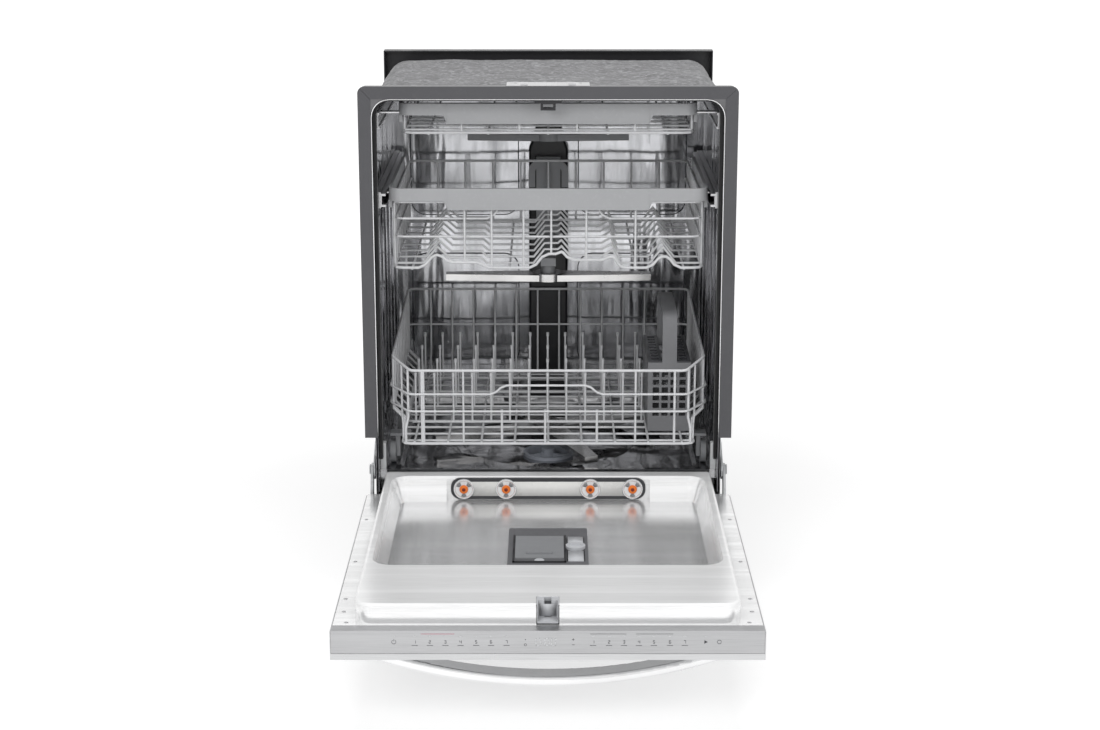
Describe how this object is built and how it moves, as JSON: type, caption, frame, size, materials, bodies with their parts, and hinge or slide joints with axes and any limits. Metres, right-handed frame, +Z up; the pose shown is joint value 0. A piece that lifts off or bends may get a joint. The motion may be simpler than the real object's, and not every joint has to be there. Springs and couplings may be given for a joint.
{
  "type": "built-in dishwasher",
  "caption": "Built-in dishwasher with a drop-down door, sliding wire racks, turning wash arms, cutlery basket, sump, pumps and levelling feet.",
  "frame": {"origin": "on the floor, midway between the tip of the open door and the back of the rear frame", "axes": "+X to the viewer's right, +Y into the cabinet, +Z up"},
  "size_m": [0.603, 1.154, 0.8583],
  "materials": {
    "stainless": "satin",
    "steel_sheet": "satin",
    "trim_grey": "matte",
    "seal": "matte",
    "felt": "matte",
    "black_plastic": "matte",
    "grey_plastic": "matte",
    "pale_plastic": "matte",
    "wire": "satin",
    "rail_steel": "satin",
    "panel": "satin",
    "galvanised": "satin",
    "nozzle": "gloss",
    "dark_plastic": "matte"
  },
  "bodies": {
    "cabinet": {"tub_wrapper": "stainless", "tub_back": "stainless", "tub_floor": "stainless", "front_frame": "stainless", "frame_trims": "trim_grey", "door_gasket": "seal", "insulation_blanket": "felt", "rear_frame": "black_plastic", "side_plates": "galvanised", "base_tray": "black_plastic", "kick_plate": "steel_sheet", "sump": "black_plastic", "wash_pump": "dark_plastic", "drain_pump": "dark_plastic", "inlet_valve": "dark_plastic", "terminal_box": "black_plastic", "filter_plate": "stainless", "rear_duct": "black_plastic", "top_bracket": "rail_steel", "door_strike": "black_plastic", "corner_blocks": "pale_plastic", "rail_channels": "rail_steel", "hinge_brackets": "galvanised"},
    "front_feet": {"front_feet": "dark_plastic"},
    "rear_feet": {"rear_feet": "dark_plastic"},
    "filter": {"filter_cup": "grey_plastic"},
    "lower_arm": {"lower_wash_arm": "stainless"},
    "top_arm": {"top_wash_arm": "stainless"},
    "door": {"door_outer_panel": "stainless", "door_inner_liner": "stainless", "control_panel": "panel", "door_handle": "stainless", "door_latch": "grey_plastic", "steam_bar": "dark_plastic", "steam_nozzles": "nozzle", "dispenser_body": "dark_plastic", "hinge_arms": "galvanised", "door_insulation": "felt"},
    "claw": {"latch_claw": "dark_plastic"},
    "detergent_lid": {"dispenser_lid": "dark_plastic"},
    "rinse_cap": {"rinse_aid_cap": "grey_plastic"},
    "lower_rack": {"lower_rack_frame": "wire", "wheel_holders": "grey_plastic"},
    "middle_tines": {"tine_row_1": "wire"},
    "rear_tines": {"tine_row_2": "wire"},
    "wheels_front": {"wheel_pair_1": "grey_plastic"},
    "wheels_middle": {"wheel_pair_2": "grey_plastic"},
    "wheels_rear": {"wheel_pair_3": "grey_plastic"},
    "basket": {"cutlery_basket": "grey_plastic"},
    "lid_left": {"basket_lid_left": "dark_plastic"},
    "lid_right": {"basket_lid_right": "dark_plastic"},
    "upper_rail": {"upper_rail_members": "rail_steel"},
    "upper_rack": {"upper_rack_frame": "wire", "upper_rack_band": "grey_plastic", "upper_rack_duct": "grey_plastic", "upper_rack_runners": "rail_steel"},
    "middle_arm": {"middle_wash_arm": "stainless"},
    "third_rack": {"third_rack_frame": "wire", "third_rack_band": "grey_plastic", "third_rack_runners": "rail_steel"}
  },
  "joints": [
    {"name": "door_hinge", "type": "hinge", "parent": "cabinet", "child": "door", "pos_m": [0, 0.061, 0.212], "axis": [1, 0, 0], "range_deg": [-90, 0]},
    {"name": "lower_rack_slide", "type": "slide", "parent": "cabinet", "child": "lower_rack", "axis": [0, -1, 0], "range_m": [0, 0.48]},
    {"name": "upper_rack_slide", "type": "slide", "parent": "cabinet", "child": "upper_rack", "axis": [0, -1, 0], "range_m": [0, 0.44]},
    {"name": "upper_rail_slide", "type": "slide", "parent": "cabinet", "child": "upper_rail", "axis": [0, -1, 0], "range_m": [0, 0.22]},
    {"name": "third_rack_slide", "type": "slide", "parent": "cabinet", "child": "third_rack", "axis": [0, -1, 0], "range_m": [0, 0.36]},
    {"name": "front_wheels_roll", "type": "hinge", "parent": "lower_rack", "child": "wheels_front", "pos_m": [0, 0.111, 0.2303], "axis": [1, 0, 0], "range_deg": [0, 1380]},
    {"name": "middle_wheels_roll", "type": "hinge", "parent": "lower_rack", "child": "wheels_middle", "pos_m": [0, 0.289, 0.2303], "axis": [1, 0, 0], "range_deg": [0, 1380]},
    {"name": "rear_wheels_roll", "type": "hinge", "parent": "lower_rack", "child": "wheels_rear", "pos_m": [0, 0.467, 0.2303], "axis": [1, 0, 0], "range_deg": [0, 1380]},
    {"name": "middle_tines_fold", "type": "hinge", "parent": "lower_rack", "child": "middle_tines", "pos_m": [0, 0.324, 0.27328], "axis": [1, 0, 0], "range_deg": [0, 88]},
    {"name": "rear_tines_fold", "type": "hinge", "parent": "lower_rack", "child": "rear_tines", "pos_m": [0, 0.419, 0.27328], "axis": [1, 0, 0], "range_deg": [0, 88]},
    {"name": "basket_lift", "type": "slide", "parent": "lower_rack", "child": "basket", "axis": [0, 0, 1], "range_m": [0, 0.05]},
    {"name": "left_lid_hinge", "type": "hinge", "parent": "basket", "child": "lid_left", "pos_m": [0.167, 0.178, 0.39028], "axis": [0, -1, 0], "range_deg": [0, 95]},
    {"name": "right_lid_hinge", "type": "hinge", "parent": "basket", "child": "lid_right", "pos_m": [0.236, 0.178, 0.39028], "axis": [0, 1, 0], "range_deg": [0, 95]},
    {"name": "lower_arm_spin", "type": "hinge", "parent": "cabinet", "child": "lower_arm", "pos_m": [0, 0.297, 0.212], "axis": [0, 0, 1], "continuous": true},
    {"name": "middle_arm_spin", "type": "hinge", "parent": "upper_rack", "child": "middle_arm", "pos_m": [0, 0.297, 0.485], "axis": [0, 0, 1], "continuous": true},
    {"name": "top_arm_spin", "type": "hinge", "parent": "cabinet", "child": "top_arm", "pos_m": [0, 0.297, 0.73], "axis": [0, 0, 1], "continuous": true},
    {"name": "filter_twist", "type": "hinge", "parent": "cabinet", "child": "filter", "pos_m": [0, 0.233, 0.184], "axis": [0, 0, 1], "range_deg": [0, 90]},
    {"name": "detergent_lid_slide", "type": "slide", "parent": "door", "child": "detergent_lid", "axis": [0, 1, 0], "range_m": [0, 0.07]},
    {"name": "rinse_cap_twist", "type": "hinge", "parent": "door", "child": "rinse_cap", "pos_m": [0.042, -0.253, 0.185], "axis": [0, 0, 1], "range_deg": [0, 90]},
    {"name": "latch_claw_pivot", "type": "hinge", "parent": "door", "child": "claw", "pos_m": [0, -0.5305, 0.194], "axis": [-1, 0, 0], "range_deg": [0, 18], "stiffness_Nm_per_rad": 0.05},
    {"name": "front_feet_screw", "type": "slide", "parent": "cabinet", "child": "front_feet", "axis": [0, 0, -1], "range_m": [-0.01, 0.03]},
    {"name": "rear_feet_screw", "type": "slide", "parent": "cabinet", "child": "rear_feet", "axis": [0, 0, -1], "range_m": [-0.01, 0.03]}
  ],
  "couplings": [
    {"joint": "upper_rail_slide", "follows": "upper_rack_slide", "ratio": 0.5},
    {"joint": "front_wheels_roll", "follows": "lower_rack_slide", "rad_per_m": 50},
    {"joint": "middle_wheels_roll", "follows": "lower_rack_slide", "rad_per_m": 50},
    {"joint": "rear_wheels_roll", "follows": "lower_rack_slide", "rad_per_m": 50}
  ]
}
